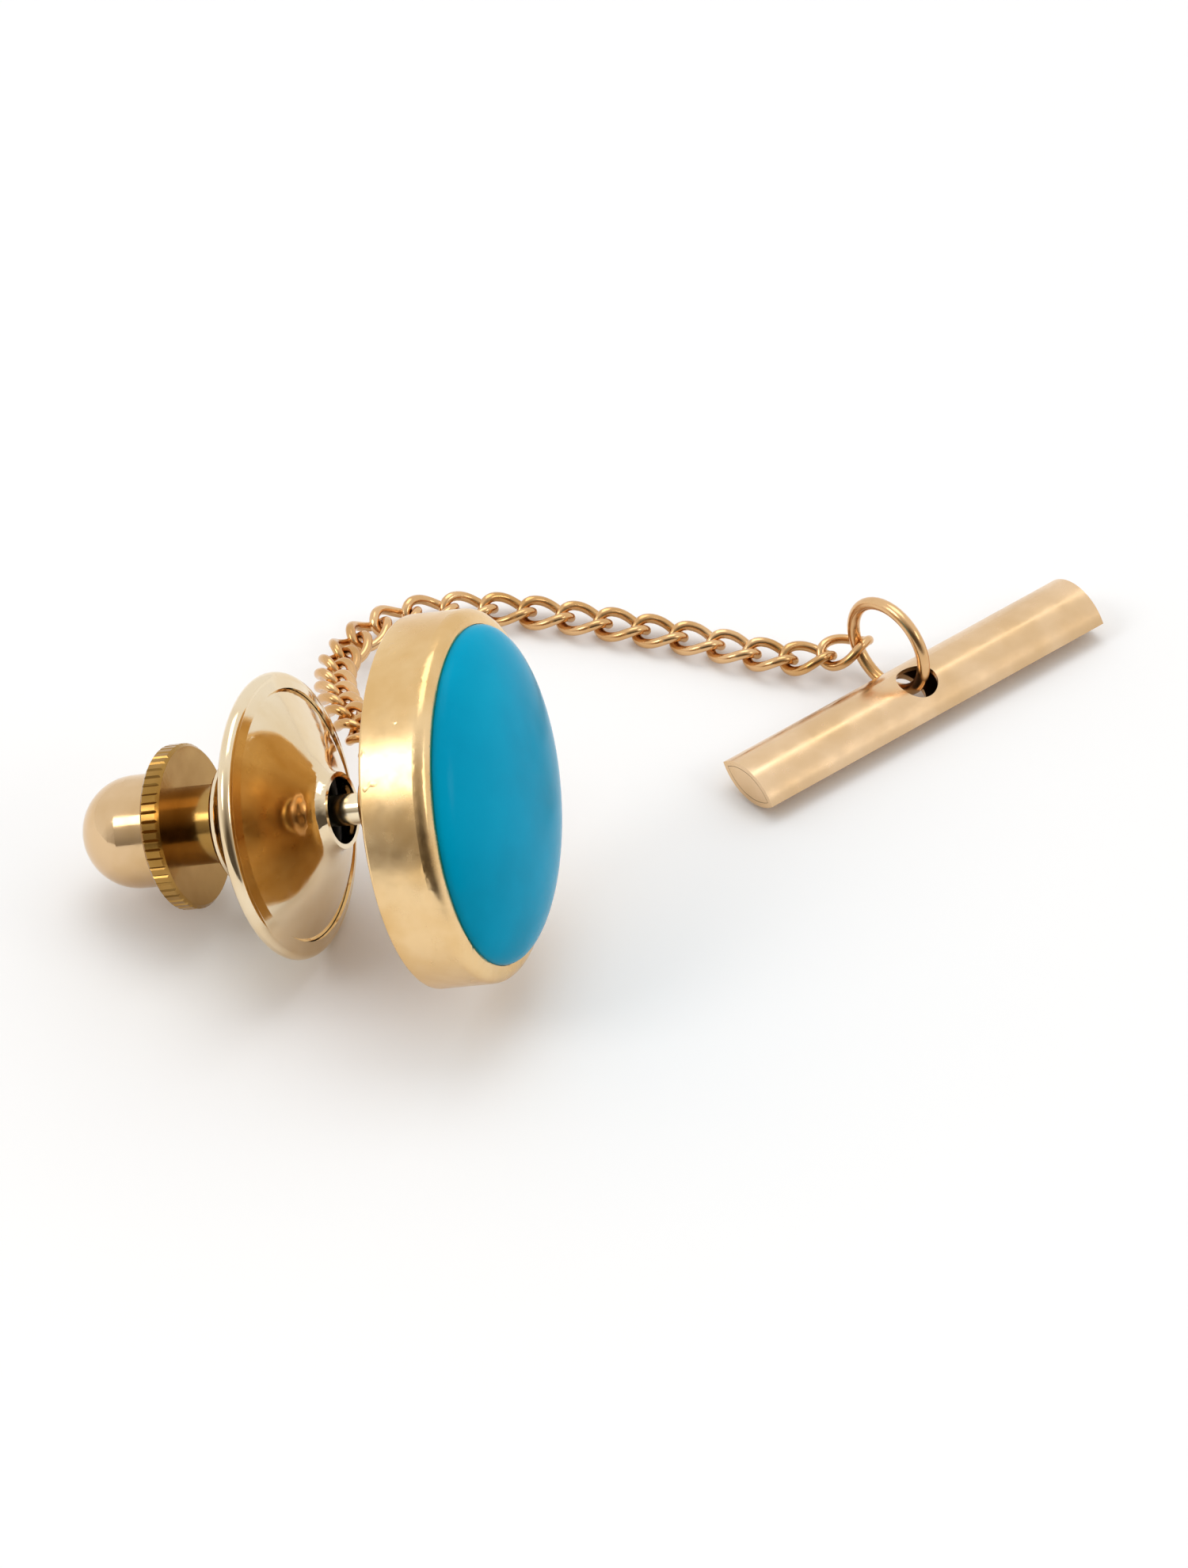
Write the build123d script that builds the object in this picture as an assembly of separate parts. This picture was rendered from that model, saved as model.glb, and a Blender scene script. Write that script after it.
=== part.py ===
"""Tie tack: oval cabochon head on a pin post, ball-lock clutch, curb safety chain and toggle bar.

The piece lies on a table: the clutch rim touches it, the head leans up to the right, and the chain
runs behind the head to the toggle bar.  Millimetres, +Z up, table top at z = 0, origin at the bottom
centre of the whole piece.

The tack's own parts are drawn in a post frame: +Z runs along the post towards the stone, z = 0 is the
rear face of the head, +X is the long axis of the oval.
"""
from build123d import *
import os
from math import cos, pi, radians, sin, sqrt, tan

# ---- how the tack lies ----
POST_HEADING = -15.8        # degrees from +X, seen from above
POST_RISE = 19.8            # degrees up, clutch to head
OVAL_ROLL = -45.0           # long axis of the oval, turned about the post from upright
TABLE_GAP = 0.02

# ---- head ----
BEZEL_LONG, BEZEL_SHORT, BEZEL_DEPTH = 14.1, 11.4, 2.75
BEZEL_WALL = 0.35
LIP_OVERHANG = 0.62         # how far the burnished edge turns in over the stone
LIP_THICK = 0.4
BACK_THICK = 0.5
BEARING_HIGH, BEARING_WIDE = 0.4, 0.7
STONE_DOME = 1.65           # dome above the lip
FIT = 0.02                  # setting and running clearance

# ---- post ----
POST_D, POST_LENGTH, POST_TIP = 1.2, 9.9, 1.1
PAD_D, PAD_THICK = 2.9, 0.3

# ---- clutch: z stations in the post frame ----
NOSE_Z, NOSE_R, NOSE_HOLE_R = -3.45, 1.46, 1.28
RIM_Z, RIM_R, RIM_BEAD = -5.75, 5.45, 0.3
BOSS_Z, BOSS_R = -7.95, 2.42
SHEET = 0.22
SLEEVE_R, SLEEVE_BORE_R, SLEEVE_FRONT_Z = 1.0, 0.66, -5.1
FLANGE_Z, FLANGE_R, FLANGE_THICK, FLANGE_TEETH = -9.65, 3.14, 0.8, 54
HUB_R = 1.5
KNOB_R, KNOB_CENTRE_Z, KNOB_WALL = 2.16, -12.03, 0.3
BALL_R, BALL_Z, BALL_COUNT = 0.4, -5.7, 3
RACE_FRONT_Z, RACE_BACK_Z, RACE_FRONT_R = -4.35, -6.4, 0.78
RACE_ANGLE = 27.0
RACE_FLANGE_Z, RACE_FLANGE_R = -5.85, 4.55
COLLAR_Z, COLLAR_R, COLLAR_THICK = -6.2, 1.55, 0.15
SPRING_WIRE, SPRING_TURNS = 0.18, 3.5

# ---- chain: sizes on the wire's centre line ----
POST_RING_R, POST_RING_WIRE, POST_RING_Z = 1.45, 0.38, -1.9
LINK_LENGTH, LINK_WIDTH, LINK_WIRE = 1.98, 1.3, 0.38
LINK_TWIST = -90.0          # end to end
LINK_COUNT = 25
HOOK_GAP = 0.03
CHAIN_HEIGHT = 0.47         # chain centre line above the table
TWISTED_LINKS = 5           # links at each end that share the turn into their ring

# ---- jump ring and toggle bar, placed from the post's root ----
JUMP_R, JUMP_WIRE, JUMP_HEADING = 1.88, 0.5, 45.0
JUMP_AT = (17.72, 15.20)
BAR_AT = (18.75, 14.0)
BAR_LENGTH, BAR_WIDTH, BAR_RISE, BAR_WALL = 17.2, 2.9, 0.72, 0.2
BAR_HEADING, BAR_TILT = 40.4, 8.5
BAR_LIFT = 0.85             # edge plane above the table
BAR_HOLE_R = 0.825
BAR_EXIT_R, BAR_EXIT_SHIFT = 0.75, 0.4
BAR_CAP = 0.35


def aim(heading, rise=0.0):
    """Unit vector at a heading from +X and a rise above the table."""
    return Vector(cos(radians(heading)) * cos(radians(rise)), sin(radians(heading)) * cos(radians(rise)),
                  sin(radians(rise)))


def tack_plane():
    """Post frame, at the height that puts the clutch rim on the table."""
    post = aim(POST_HEADING, POST_RISE)
    upright = Vector(0, 0, 1) - post * post.Z
    long_axis = upright.normalized().rotate(Axis((0, 0, 0), post), OVAL_ROLL)
    rim_low = RIM_Z * post.Z - RIM_R * cos(radians(POST_RISE))
    return Plane(origin=(0, 0, TABLE_GAP - rim_low), x_dir=long_axis, z_dir=post)


# ================= head =================
def oval(long_axis, short_axis, height, base=0.0):
    """Upright oval prism."""
    return extrude(Plane.XY.offset(base) * Ellipse(long_axis / 2, short_axis / 2), height)


def lathe(draw_outline):
    """Solid turned about the post axis from a closed outline of (radius, z) points."""
    with BuildPart() as turned:
        with BuildSketch(Plane.XZ):
            with BuildLine():
                draw_outline()
            make_face()
        revolve(axis=Axis.Z)
    return turned.part


def tube(outer_r, inner_r, low, high):
    """Plain round sleeve along the post axis."""
    corners = [(inner_r, low), (outer_r, low), (outer_r, high), (inner_r, high), (inner_r, low)]
    return lathe(lambda: Polyline(*corners))


def bezel_wall():
    """Oval band whose front edge is burnished inwards over the stone."""
    band = oval(BEZEL_LONG, BEZEL_SHORT, BEZEL_DEPTH)
    band = fillet(band.edges().sort_by(Axis.Z)[-1], LIP_OVERHANG * 0.85)
    band = fillet(band.edges().sort_by(Axis.Z)[0], 0.12)
    inside = 2 * BEZEL_WALL
    band -= oval(BEZEL_LONG - inside, BEZEL_SHORT - inside, BEZEL_DEPTH - LIP_THICK + 1, -1)
    opening = 2 * LIP_OVERHANG
    return band - oval(BEZEL_LONG - opening, BEZEL_SHORT - opening, BEZEL_DEPTH, 1)


def back_plate():
    """Flat oval floor soldered inside the band, bored for the post."""
    inside = 2 * (BEZEL_WALL + FIT)
    plate = oval(BEZEL_LONG - inside, BEZEL_SHORT - inside, BACK_THICK)
    return plate - tube(POST_D / 2 + FIT, 0, -1, 1)


def stone_bearing():
    """Step ring inside the band that carries the stone's girdle."""
    inside = 2 * (BEZEL_WALL + FIT)
    hole = inside + 2 * BEARING_WIDE
    base = BACK_THICK + FIT
    ring = oval(BEZEL_LONG - inside, BEZEL_SHORT - inside, BEARING_HIGH, base)
    return ring - oval(BEZEL_LONG - hole, BEZEL_SHORT - hole, 1, base - 0.2)


def stone():
    """Cabochon: flat base, straight girdle held under the lip, low dome above it."""
    base = BACK_THICK + BEARING_HIGH + 2 * FIT
    girdle_r = BEZEL_LONG / 2 - BEZEL_WALL - FIT
    shoulder = BEZEL_DEPTH - LIP_THICK - FIT
    dome_r = BEZEL_LONG / 2 - LIP_OVERHANG - FIT

    def outline():
        Polyline((0, base), (girdle_r, base), (girdle_r, shoulder), (dome_r, shoulder), (dome_r, BEZEL_DEPTH))
        EllipticalCenterArc((0, BEZEL_DEPTH), dome_r, STONE_DOME, arc_size=90)
        Line((0, BEZEL_DEPTH + STONE_DOME), (0, base))

    squeeze = (BEZEL_SHORT / 2 - LIP_OVERHANG - FIT) / dome_r
    return scale(lathe(outline), by=(1, squeeze, 1))


def pin_post():
    """Post with a ground point, soldered through the back plate."""
    half, tip = POST_D / 2, 0.16
    corners = [(0, BACK_THICK), (half, BACK_THICK), (half, POST_TIP - POST_LENGTH), (tip, 0.1 - POST_LENGTH),
               (tip / 2, -POST_LENGTH), (0, -POST_LENGTH), (0, BACK_THICK)]
    return lathe(lambda: Polyline(*corners))


def post_pad():
    """Round reinforcing pad where the post leaves the back plate."""
    pad = tube(PAD_D / 2, POST_D / 2 + FIT, -PAD_THICK, 0)
    outer = pad.edges().filter_by(GeomType.CIRCLE).sort_by(Axis.Z)[:2].sort_by(SortBy.RADIUS)[-1]
    return chamfer(outer, 0.12)


# ================= clutch =================
def front_shell():
    """Trumpet-shaped front cover: a shallow cone that flares out of the nose."""
    edge = RIM_R - RIM_BEAD - 0.05
    edge_z = RIM_Z + 0.12

    def outline():
        Spline((NOSE_R, NOSE_Z), (2.2, -4.2), (3.95, -4.95), (edge, edge_z), tangents=((0.05, -1), (1, -0.6)))
        Line((edge, edge_z), (edge, edge_z - SHEET))
        Spline((edge, edge_z - SHEET), (3.85, -4.95 - SHEET), (2.05, -4.2 - SHEET), (NOSE_HOLE_R, NOSE_Z - 0.12),
               tangents=((-1, 0.6), (-0.05, 1)))
        Polyline((NOSE_HOLE_R, NOSE_Z - 0.12), (NOSE_HOLE_R, NOSE_Z), (NOSE_R, NOSE_Z))

    return lathe(outline)


def rear_shell():
    """Dished rear cover, crimped round the front cover at the rim and drawn down to the boss."""
    crimp_r = RIM_R - RIM_BEAD
    lip_r = crimp_r - 0.35
    hole_r = SLEEVE_R + 0.05

    def outline():
        Line((lip_r, RIM_Z + 0.46), (crimp_r, RIM_Z + RIM_BEAD))
        ThreePointArc((crimp_r, RIM_Z + RIM_BEAD), (RIM_R, RIM_Z), (crimp_r, RIM_Z - RIM_BEAD))
        Spline((crimp_r, RIM_Z - RIM_BEAD), (3.9, -6.72), (2.75, -7.34), (BOSS_R, BOSS_Z + 0.15),
               tangents=((-1, -0.3), (-0.1, -1)))
        Polyline((BOSS_R, BOSS_Z + 0.15), (BOSS_R - 0.15, BOSS_Z), (hole_r, BOSS_Z), (hole_r, BOSS_Z + SHEET),
                 (BOSS_R - SHEET, BOSS_Z + SHEET))
        Spline((BOSS_R - SHEET, BOSS_Z + SHEET), (2.6, -7.16), (3.8, -6.52), (crimp_r - 0.02, RIM_Z - 0.12),
               tangents=((0.1, 1), (1, 0.3)))
        Polyline((crimp_r - 0.02, RIM_Z - 0.12), (crimp_r - 0.02, RIM_Z + 0.17), (lip_r, RIM_Z + 0.33),
                 (lip_r, RIM_Z + 0.46))

    return lathe(outline)


def race_cup():
    """Tapered cup inside the covers: pulling the clutch backwards wedges the balls on the post."""
    flare = tan(radians(RACE_ANGLE))
    back_r = RACE_FRONT_R + (RACE_FRONT_Z - RACE_BACK_Z) * flare
    wall = 0.3
    flange_r = RACE_FRONT_R + (RACE_FRONT_Z - RACE_FLANGE_Z) * flare + wall
    half = SHEET / 2
    hem_r = RACE_FLANGE_R - SHEET
    corners = [(RACE_FRONT_R, RACE_FRONT_Z), (RACE_FRONT_R + wall, RACE_FRONT_Z),
               (flange_r - half * flare, RACE_FLANGE_Z + half), (hem_r, RACE_FLANGE_Z + half),
               (hem_r, RACE_FLANGE_Z + 0.2), (RACE_FLANGE_R, RACE_FLANGE_Z + 0.2),
               (RACE_FLANGE_R, RACE_FLANGE_Z - 0.2), (hem_r, RACE_FLANGE_Z - 0.2),
               (hem_r, RACE_FLANGE_Z - half), (flange_r + half * flare, RACE_FLANGE_Z - half),
               (back_r + wall, RACE_BACK_Z), (back_r, RACE_BACK_Z), (RACE_FRONT_R, RACE_FRONT_Z)]
    return lathe(lambda: Polyline(*corners))


def ball_places():
    """Centres of the locking balls round the post."""
    radius = POST_D / 2 + BALL_R + FIT / 2
    return [Pos(radius * cos(a), radius * sin(a), BALL_Z) for a in (2 * pi * i / BALL_COUNT for i in range(BALL_COUNT))]


def grip_balls():
    """Three separate locking balls."""
    return Compound(children=[place * Sphere(BALL_R) for place in ball_places()])


def plunger_sleeve():
    """Long sleeve round the post: cages the balls in front and carries flange and knob behind."""
    sleeve = tube(SLEEVE_R, SLEEVE_BORE_R, KNOB_CENTRE_Z, SLEEVE_FRONT_Z)
    for i in range(BALL_COUNT):
        window = Rot(0, 0, 360 * i / BALL_COUNT) * Pos(0, 0, BALL_Z) * Rot(0, 90, 0) * extrude(Circle(BALL_R + FIT), 2)
        sleeve -= window
    return sleeve


def spring_collar():
    """Collar pressed on the sleeve for the spring to push on."""
    return tube(COLLAR_R, SLEEVE_R + FIT / 2, COLLAR_Z - COLLAR_THICK, COLLAR_Z)


def plunger_spring():
    """Coil between the collar and the rear cover's floor."""
    high = COLLAR_Z - COLLAR_THICK - FIT - SPRING_WIRE / 2
    low = BOSS_Z + SHEET + FIT + SPRING_WIRE / 2
    radius = (SLEEVE_R + COLLAR_R) / 2
    path = Pos(0, 0, low) * Helix((high - low) / SPRING_TURNS, high - low, radius)
    section = Plane(origin=path @ 0, z_dir=path % 0) * Circle(SPRING_WIRE / 2)
    return sweep(section, path)


def knurled_flange():
    """Finger flange with straight teeth; its hub fills the gap to the rear cover."""
    back = FLANGE_Z - FLANGE_THICK
    disc = tube(FLANGE_R, SLEEVE_R + FIT / 2, back, FLANGE_Z)
    disc = chamfer(disc.edges().filter_by(GeomType.CIRCLE).sort_by(SortBy.RADIUS)[-2:], 0.12)
    disc += tube(HUB_R, SLEEVE_R + FIT / 2, FLANGE_Z - 0.1, BOSS_Z - FIT)
    pitch = 2 * pi * FLANGE_R / FLANGE_TEETH
    notch = Plane.XY.offset(back) * Pos(FLANGE_R + 0.06, 0, 0) * Rot(0, 0, 45) * Rectangle(pitch * 0.5, pitch * 0.5)
    cutter = extrude(notch, FLANGE_THICK)
    grooves = [Rot(0, 0, 360 * i / FLANGE_TEETH) * cutter for i in range(FLANGE_TEETH)]
    return disc - grooves


def ball_knob():
    """Hollow drawn cap with a round end, closing the sleeve."""
    front = FLANGE_Z - FLANGE_THICK - FIT / 2
    inner_r = KNOB_R - KNOB_WALL
    neck_r = SLEEVE_R + FIT / 2
    floor = front - 0.3

    def outline():
        Polyline((neck_r, front), (KNOB_R, front), (KNOB_R, KNOB_CENTRE_Z))
        RadiusArc((KNOB_R, KNOB_CENTRE_Z), (0, KNOB_CENTRE_Z - KNOB_R), KNOB_R)
        Line((0, KNOB_CENTRE_Z - KNOB_R), (0, KNOB_CENTRE_Z - inner_r))
        RadiusArc((0, KNOB_CENTRE_Z - inner_r), (inner_r, KNOB_CENTRE_Z), -inner_r)
        Polyline((inner_r, KNOB_CENTRE_Z), (inner_r, floor), (neck_r, floor), (neck_r, front))

    return lathe(outline)


# ================= chain =================
def wire_ring(radius, wire):
    """Closed ring of round wire round the local z axis."""
    return Torus(radius, wire / 2)


def chain_link():
    """Curb link: an oval of wire twisted end to end about its own length."""
    def centre(turn):
        x = LINK_LENGTH / 2 * cos(turn)
        side = LINK_WIDTH / 2 * sin(turn)
        twist = radians(LINK_TWIST) * x / LINK_LENGTH
        return (x, side * cos(twist), side * sin(twist))

    slant = radians(LINK_TWIST / 2)
    leaves, arrives = (0, cos(slant), sin(slant)), (0, -cos(slant), sin(slant))
    path = Spline(*[centre(pi * i / 6) for i in range(7)], tangents=(leaves, arrives),
                  tangent_scalars=(0.7, 0.7))
    section = Plane(origin=path @ 0, z_dir=path % 0) * Circle(LINK_WIRE / 2)
    half = sweep(section, path)
    skins = [piece.faces().filter_by(GeomType.PLANE, reverse=True) for piece in (half, Rot(180, 0, 0) * half)]
    return Solid(Shell([face for skin in skins for face in skin]))


def post_ring_plane():
    """Post ring, square to the post between head and clutch."""
    tack = tack_plane()
    return Plane(origin=tack.origin + tack.z_dir * POST_RING_Z, x_dir=tack.x_dir, z_dir=tack.z_dir)


def jump_ring_plane():
    """Jump ring, standing upright on the table; local x points away from the bar's hole."""
    return Plane(origin=(*JUMP_AT, JUMP_R + JUMP_WIRE / 2 + TABLE_GAP), x_dir=aim(JUMP_HEADING + 90),
                 z_dir=aim(JUMP_HEADING))


CHAIN_LEAVES = Vector(0, 0.98, -0.2).normalized()       # off the post ring
CHAIN_ARRIVES = Vector(0.9, 0.3, 0.3).normalized()      # at the jump ring
JUMP_HOOK_ANGLE = 28.0      # the last link hooks the jump ring this far below its centre


def ring_hooks():
    """Wire centres where the chain hooks its two rings, each with the wire's direction there."""
    ring = post_ring_plane()
    out = (CHAIN_LEAVES - ring.z_dir * CHAIN_LEAVES.dot(ring.z_dir)).normalized()
    start = ring.origin + out * POST_RING_R, ring.z_dir.cross(out)
    jump = jump_ring_plane()
    low = radians(JUMP_HOOK_ANGLE)
    side = jump.x_dir * cos(low) - Vector(0, 0, 1) * sin(low)
    end = jump.origin + side * JUMP_R, jump.z_dir.cross(side)
    return start, end


def hook_reach(ring_wire):
    """Distance from a ring's wire to the end wire of the link hooked over it."""
    return (ring_wire + LINK_WIRE) / 2 + HOOK_GAP


def chain_route():
    """Centre line of the chain, from the post ring round behind the head to the jump ring."""
    (start, _), (end, _) = ring_hooks()
    half_overlap = (LINK_WIRE + HOOK_GAP) / 2
    start -= CHAIN_LEAVES * (hook_reach(POST_RING_WIRE) - half_overlap)
    end += CHAIN_ARRIVES * (hook_reach(JUMP_WIRE) - half_overlap)
    low = CHAIN_HEIGHT
    points = [start, (-2.9, 8.0, 4.4), (-3.7, 12.8, 2.4), (-3.2, 16.5, 1.1), (-1.3, 19.0, low + 0.12),
              (2.2, 19.6, low), (6.9, 18.65, low), (11.3, 17.3, low), (14.4, 16.15, low + 0.25), end]
    return Spline(*points, tangents=(CHAIN_LEAVES, CHAIN_ARRIVES))


def roll_to_ring(link, wire, ring_wire, end):
    """Turn about the link's length that sets its opening square to a ring's wire."""
    across = wire.cross(link.x_dir)
    own_twist = LINK_TWIST * (0.5 - hook_reach(ring_wire) / LINK_LENGTH) * end
    turn = link.y_dir.get_signed_angle(across, link.x_dir) - own_twist
    return (turn + 90) % 180 - 90


def chain_planes():
    """One plane per link: x along the link, z square to the chain's flat side."""
    route = chain_route()
    stations = [route @ (i / LINK_COUNT) for i in range(LINK_COUNT + 1)]
    planes = []
    for near, far in zip(stations, stations[1:]):
        along = (far - near).normalized()
        flat = Vector(0, 0, 1) - along * along.Z
        planes.append(Plane(origin=(near + far) / 2, x_dir=along, z_dir=flat))
    (_, first_wire), (_, last_wire) = ring_hooks()
    first_roll = roll_to_ring(planes[0], first_wire, POST_RING_WIRE, -1)
    last_roll = roll_to_ring(planes[-1], last_wire, JUMP_WIRE, 1)
    rolled = []
    for i, plane in enumerate(planes):
        share_first = max(0, 1 - i / TWISTED_LINKS)
        share_last = max(0, 1 - (LINK_COUNT - 1 - i) / TWISTED_LINKS)
        turn = first_roll * share_first + last_roll * share_last
        flat = plane.z_dir.rotate(Axis((0, 0, 0), plane.x_dir), turn)
        rolled.append(Plane(origin=plane.origin, x_dir=plane.x_dir, z_dir=flat))
    return rolled


# ================= toggle bar =================
def bar_plane():
    """Toggle bar: local x along the bar, y to its back edge, z up off its face."""
    back = aim(BAR_HEADING + 90).rotate(Axis((0, 0, 0), aim(BAR_HEADING)), BAR_TILT)
    along = aim(BAR_HEADING)
    return Plane(origin=(*BAR_AT, BAR_LIFT), x_dir=along, z_dir=along.cross(back))


def lens(width, rise):
    """Section of the bar: two shallow arcs meeting at the edges."""
    half = width / 2
    arcs = [ThreePointArc((-half, 0), (0, rise), (half, 0)), ThreePointArc((half, 0), (0, -rise), (-half, 0))]
    return Plane.YZ * make_face(arcs)


def bar_tube():
    """Hollow lens-section tube, drilled through for the jump ring."""
    outer = extrude(lens(BAR_WIDTH, BAR_RISE), BAR_LENGTH / 2, both=True)
    bore_width = BAR_WIDTH - 2.6 * BAR_WALL
    tube_solid = outer - extrude(lens(bore_width, BAR_RISE - BAR_WALL), BAR_LENGTH, both=True)
    tube_solid -= extrude(Circle(BAR_HOLE_R), 2)
    return tube_solid - Pos(0, BAR_EXIT_SHIFT, -2) * extrude(Circle(BAR_EXIT_R), 2)


def bar_cap(side):
    """Plug that closes one end of the tube; side is -1 at the near end, 1 at the far end."""
    fit = 2 * FIT
    plug = extrude(lens(BAR_WIDTH - 2.6 * BAR_WALL - fit, BAR_RISE - BAR_WALL - FIT), BAR_CAP)
    return Pos(BAR_LENGTH / 2 - BAR_CAP if side > 0 else -BAR_LENGTH / 2, 0, 0) * plug


# ================= assembly =================
TACK_PARTS = {
    "turquoise_stone": stone, "bezel_wall": bezel_wall, "back_plate": back_plate, "stone_bearing": stone_bearing,
    "pin_post": pin_post, "post_pad": post_pad, "front_shell": front_shell, "rear_shell": rear_shell,
    "race_cup": race_cup, "grip_balls": grip_balls, "plunger_sleeve": plunger_sleeve,
    "spring_collar": spring_collar, "plunger_spring": plunger_spring, "knurled_flange": knurled_flange,
    "ball_knob": ball_knob,
}


def link_name(number):
    """Node name of a chain link, counted from the post."""
    return f"chain_link_{number:02d}"


def placed_parts():
    """Every node's solid, placed from the foot of the post's root."""
    tack = tack_plane().location
    parts = {name: tack * build() for name, build in TACK_PARTS.items()}
    parts["post_ring"] = post_ring_plane().location * wire_ring(POST_RING_R, POST_RING_WIRE)
    link = chain_link()
    for number, plane in enumerate(chain_planes(), start=1):
        parts[link_name(number)] = plane.location * link
    parts["jump_ring"] = jump_ring_plane().location * wire_ring(JUMP_R, JUMP_WIRE)
    bar = bar_plane().location
    parts["bar_tube"] = bar * bar_tube()
    parts["near_end_cap"] = bar * bar_cap(-1)
    parts["far_end_cap"] = bar * bar_cap(1)
    return parts


def centring_move(parts):
    """Move that brings the bottom centre of the whole piece to the origin."""
    boxes = [part.bounding_box() for part in parts.values()]
    low = [min(box.min.X for box in boxes), min(box.min.Y for box in boxes), min(box.min.Z for box in boxes)]
    high_x = max(box.max.X for box in boxes)
    high_y = max(box.max.Y for box in boxes)
    return Pos(-(low[0] + high_x) / 2, -(low[1] + high_y) / 2, -low[2])


def main():
    """Write one STEP file per node."""
    os.makedirs("parts", exist_ok=True)
    parts = placed_parts()
    move = centring_move(parts)
    for name, part in parts.items():
        export_step(move * part, f"parts/{name}.step")


if __name__ == "__main__":
    main()
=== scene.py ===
"""Looks of the tie tack: gold-plate finishes, the turquoise, a pale table and soft studio light.

Metres, in the CAD frame: +Z up, origin at the bottom centre of the whole piece.
"""
import math
import bpy
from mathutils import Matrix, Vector

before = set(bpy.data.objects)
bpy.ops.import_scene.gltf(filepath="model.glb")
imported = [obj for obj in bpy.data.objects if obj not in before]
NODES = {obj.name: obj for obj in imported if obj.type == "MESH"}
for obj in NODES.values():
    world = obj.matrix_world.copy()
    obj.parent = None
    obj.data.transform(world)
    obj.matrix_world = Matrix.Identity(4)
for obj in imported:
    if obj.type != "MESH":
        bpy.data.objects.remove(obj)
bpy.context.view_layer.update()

MM = 0.001                  # metres
MICRON = 0.000001


# ================= camera =================
CAMERA_RISE = 40.0          # degrees above the table, looking along +Y
CAMERA_AWAY = 0.4           # metres from the target, long enough for nearly parallel rays
FRAME_WIDTH = 45.73 * MM    # width of the view at the target
CAMERA_TARGET = Vector((-0.287, 2.589, 0.0)) * MM
SENSOR_WIDTH = 36.0         # millimetres, as Blender counts a sensor and a lens
NEAR_CLIP = 0.01
FAR_CLIP = 10.0


def add_camera():
    """Long-lens camera at the photograph's angle."""
    data = bpy.data.cameras.new("camera")
    data.sensor_fit = "HORIZONTAL"
    data.sensor_width = SENSOR_WIDTH
    data.lens = SENSOR_WIDTH * CAMERA_AWAY / FRAME_WIDTH
    data.clip_start = NEAR_CLIP
    data.clip_end = FAR_CLIP
    camera = bpy.data.objects.new("camera", data)
    bpy.context.scene.collection.objects.link(camera)
    rise = math.radians(CAMERA_RISE)
    towards_camera = Vector((0, -math.cos(rise), math.sin(rise)))
    camera.location = CAMERA_TARGET + towards_camera * CAMERA_AWAY
    camera.rotation_euler = (math.pi / 2 - rise, 0, 0)
    bpy.context.scene.camera = camera


# ================= material helpers =================
# Scales of noise are cycles per metre.
DRIFT_SCALE = 330
WEAR_SCALE = 1500
SCRATCH_SCALE = 1100
SCRATCH_BAND = (0.66, 0.7)  # only the peaks of the noise become marks, so they are sparse
CLOUD_SCALE = 150
POLISH_SCALE = 2600
RIPPLE_SCALE = 900
RIPPLE_DEPTH = 1.2 * MICRON
ROUND_MARKS = (1, 1, 0.06)  # marks that run up and down
CROSS_MARKS = (0.1, 0.1, 1)  # marks that run level


def new_material(name):
    """Empty node material: returns it with its tree and principled shader."""
    material = bpy.data.materials.new(name)
    material.use_nodes = True
    tree = material.node_tree
    return material, tree, tree.nodes["Principled BSDF"]


def coordinates(tree, stretch=(1, 1, 1)):
    """Object coordinates, stretched along an axis where marks run one way."""
    source = tree.nodes.new("ShaderNodeTexCoord")
    mapping = tree.nodes.new("ShaderNodeMapping")
    mapping.inputs["Scale"].default_value = stretch
    tree.links.new(source.outputs["Object"], mapping.inputs["Vector"])
    return mapping.outputs["Vector"]


def noise(tree, vector, scale, detail=4.0):
    """Noise value, scale in cycles per metre."""
    node = tree.nodes.new("ShaderNodeTexNoise")
    node.inputs["Scale"].default_value = scale
    node.inputs["Detail"].default_value = detail
    tree.links.new(vector, node.inputs["Vector"])
    return node.outputs["Fac"]


def ramp(tree, value, stops):
    """Colour ramp over a value; stops are (position, colour)."""
    node = tree.nodes.new("ShaderNodeValToRGB")
    while len(node.color_ramp.elements) < len(stops):
        node.color_ramp.elements.new(0.5)
    for element, (place, colour) in zip(node.color_ramp.elements, stops):
        element.position = place
        element.color = (*colour, 1)
    tree.links.new(value, node.inputs["Fac"])
    return node.outputs["Color"]


def to_range(tree, value, low, high, from_low=0.3, from_high=0.7):
    """Value mapped to a range."""
    node = tree.nodes.new("ShaderNodeMapRange")
    node.inputs["From Min"].default_value = from_low
    node.inputs["From Max"].default_value = from_high
    node.inputs["To Min"].default_value = low
    node.inputs["To Max"].default_value = high
    tree.links.new(value, node.inputs["Value"])
    return node.outputs["Result"]


def bump(tree, height, depth, below=None):
    """Bump of a real depth in metres, on top of another bump."""
    node = tree.nodes.new("ShaderNodeBump")
    node.inputs["Strength"].default_value = 1.0
    node.inputs["Distance"].default_value = depth
    tree.links.new(height, node.inputs["Height"])
    if below is not None:
        tree.links.new(below, node.inputs["Normal"])
    return node.outputs["Normal"]


def scratch_marks(tree, run):
    """Thin sparse lines, 0 to 1, stretched the way that the coordinates are squeezed."""
    lines = noise(tree, coordinates(tree, run), SCRATCH_SCALE, 2)
    return to_range(tree, lines, 0.0, 1.0, *SCRATCH_BAND)


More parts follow.
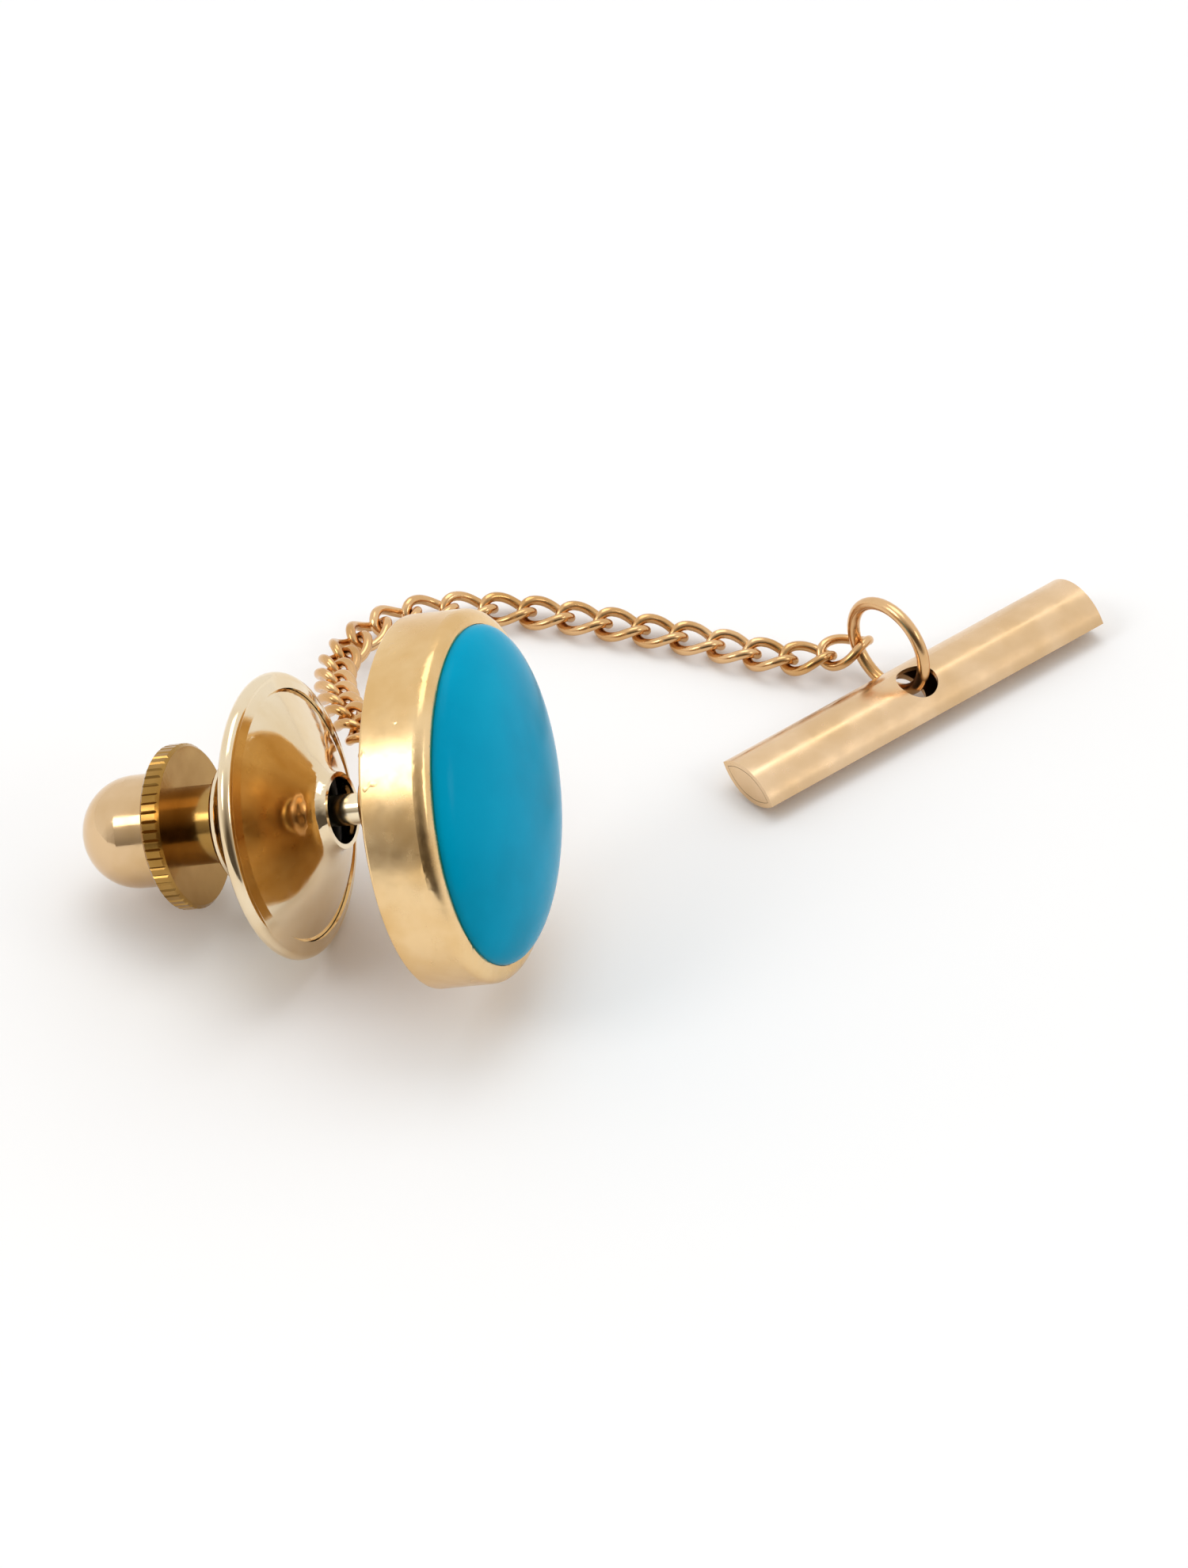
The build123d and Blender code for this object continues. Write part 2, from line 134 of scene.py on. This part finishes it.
def gold(name, bright, deep, shine, dents=(4, 400), scratches=2, run=ROUND_MARKS):
    """Gold plate: colour drifts from deep to bright and polish varies over the roughness in shine.

    dents are soft hollows, as a depth in microns and a scale; scratches are a depth in microns.
    """
    dent_depth, dent_scale = dents
    material, tree, shader = new_material(name)
    shader.inputs["Metallic"].default_value = 1.0
    plain = coordinates(tree)
    drift = noise(tree, plain, DRIFT_SCALE)
    tree.links.new(ramp(tree, drift, [(0.36, deep), (0.6, bright)]), shader.inputs["Base Color"])
    wear = noise(tree, plain, WEAR_SCALE, 6)
    tree.links.new(to_range(tree, wear, *shine), shader.inputs["Roughness"])
    dented = bump(tree, noise(tree, plain, dent_scale, 1), dent_depth * MICRON)
    marked = bump(tree, scratch_marks(tree, run), scratches * MICRON, dented)
    tree.links.new(marked, shader.inputs["Normal"])
    return material


def turquoise():
    """Polished turquoise with faint cloudy mottling."""
    material, tree, shader = new_material("turquoise")
    plain = coordinates(tree)
    cloud = noise(tree, plain, CLOUD_SCALE, 5)
    colours = [(0.3, (0.0, 0.27, 0.44)), (0.5, (0.0, 0.33, 0.54)), (0.72, (0.0, 0.38, 0.6))]
    tree.links.new(ramp(tree, cloud, colours), shader.inputs["Base Color"])
    polish = noise(tree, plain, POLISH_SCALE, 4)
    tree.links.new(to_range(tree, polish, 0.14, 0.22), shader.inputs["Roughness"])
    rippled = bump(tree, noise(tree, plain, RIPPLE_SCALE, 2), RIPPLE_DEPTH)
    tree.links.new(rippled, shader.inputs["Normal"])
    shader.inputs["Specular IOR Level"].default_value = 0.04
    return material


# ================= finishes on the CAD pieces =================
def finish(node, material):
    """Give a CAD node its finish."""
    mesh = NODES[node].data
    mesh.materials.clear()
    mesh.materials.append(material)


def finish_all():
    """Finishes of every piece; the back plate, post pad, plunger sleeve and knurled flange have their
    gold darkened as painted shade.
    """
    setting = gold("setting_gold", (0.86, 0.61, 0.32), (0.76, 0.49, 0.21), (0.15, 0.3), (40, 330), 10)
    # back plate and post pad: darker reddish-brown gold, painted shade for the shadow they sit in
    # behind the bezel
    painted_shade_back = gold("back_gold_painted_shade", (0.62, 0.36, 0.11), (0.5, 0.26, 0.06), (0.25, 0.4))
    cover = gold("cover_gold", (0.86, 0.72, 0.51), (0.8, 0.62, 0.38), (0.06, 0.14), (8, 300))
    knob = gold("knob_gold", (0.74, 0.52, 0.3), (0.64, 0.42, 0.2), (0.07, 0.15), (8, 500))
    # plunger sleeve and knurled flange: dark olive-brown gold, painted shade and painted dark
    # reflection of the rear shell, darker than the gold itself
    painted_shade_neck = gold("neck_gold_painted_shade", (0.46, 0.27, 0.08), (0.34, 0.18, 0.04), (0.12, 0.22), (6, 500))
    post = gold("post_gold", (0.95, 0.82, 0.58), (0.9, 0.72, 0.44), (0.12, 0.2))
    chain = gold("chain_gold", (0.76, 0.48, 0.24), (0.6, 0.33, 0.12), (0.14, 0.26), (3, 900))
    bar = gold("bar_gold", (0.84, 0.6, 0.37), (0.74, 0.5, 0.27), (0.16, 0.28), (5, 250), 4, CROSS_MARKS)
    steel = gold("inner_steel", (0.56, 0.56, 0.57), (0.48, 0.48, 0.5), (0.25, 0.4))
    links = [node for node in NODES if node.startswith("chain_link")]
    finishes = {
        turquoise(): ["turquoise_stone"],
        setting: ["bezel_wall", "stone_bearing"],
        painted_shade_back: ["back_plate", "post_pad"],
        cover: ["front_shell", "rear_shell"],
        knob: ["ball_knob"],
        painted_shade_neck: ["plunger_sleeve", "knurled_flange"],
        post: ["pin_post"],
        bar: ["bar_tube", "near_end_cap", "far_end_cap"],
        steel: ["race_cup", "grip_balls", "spring_collar", "plunger_spring"],
        chain: ["post_ring", "jump_ring"] + links,
    }
    for material, nodes in finishes.items():
        for node in nodes:
            finish(node, material)


# ================= studio =================
FLOOR_SIZE = 3.0
FLOOR_DROP = 0.1 * MM       # the table lies just below the piece
OPEN_FRONT = (0.1, 0.085, 0.07)
TENT_EDGE = (0.5, 0.47, 0.43)
TENT_WHITE = (1.0, 1.0, 1.0)
TENT_POWER = 0.95


def add_floor():
    """Plain pale table."""
    bpy.ops.mesh.primitive_plane_add(size=FLOOR_SIZE, location=(0, 0, -FLOOR_DROP))
    floor = bpy.context.object
    floor.name = "floor"
    material, tree, shader = new_material("floor")
    tone = noise(tree, coordinates(tree), 8, 2)
    greys = [(0.2, (0.95, 0.95, 0.95)), (0.8, (0.97, 0.97, 0.97))]
    tree.links.new(ramp(tree, tone, greys), shader.inputs["Base Color"])
    shader.inputs["Roughness"].default_value = 0.8
    floor.data.materials.append(material)


def add_area_light(name, place, size, power, colour=(1, 1, 1)):
    """Square softbox aimed at the piece; place is in metres."""
    data = bpy.data.lights.new(name, "AREA")
    data.size = size
    data.energy = power
    data.color = colour
    light = bpy.data.objects.new(name, data)
    bpy.context.scene.collection.objects.link(light)
    light.location = place
    light.rotation_euler = (-Vector(place)).to_track_quat("-Z", "Y").to_euler()


def add_world():
    """Light tent: white behind and overhead, falling off towards the open front."""
    world = bpy.data.worlds.new("world")
    bpy.context.scene.world = world
    world.use_nodes = True
    tree = world.node_tree
    direction = tree.nodes.new("ShaderNodeTexCoord").outputs["Generated"]
    split = tree.nodes.new("ShaderNodeSeparateXYZ")
    tree.links.new(direction, split.inputs["Vector"])
    depth = to_range(tree, split.outputs["Y"], 0.0, 1.0, -1.0, 1.0)
    tent = ramp(tree, depth, [(0.08, OPEN_FRONT), (0.2, TENT_EDGE), (0.42, TENT_WHITE)])
    background = tree.nodes["Background"]
    tree.links.new(tent, background.inputs["Color"])
    background.inputs["Strength"].default_value = TENT_POWER


def main():
    """Build the scene."""
    add_camera()
    finish_all()
    add_floor()
    add_world()
    add_area_light("left_box", (-0.5, -0.2, 0.45), 0.25, 0.7)
    add_area_light("right_box", (0.6, -0.3, 0.5), 0.2, 0.4)
    add_area_light("top_box", (0.0, 0.25, 0.8), 0.5, 1.2)
    bpy.context.scene.view_settings.view_transform = "Standard"


main()
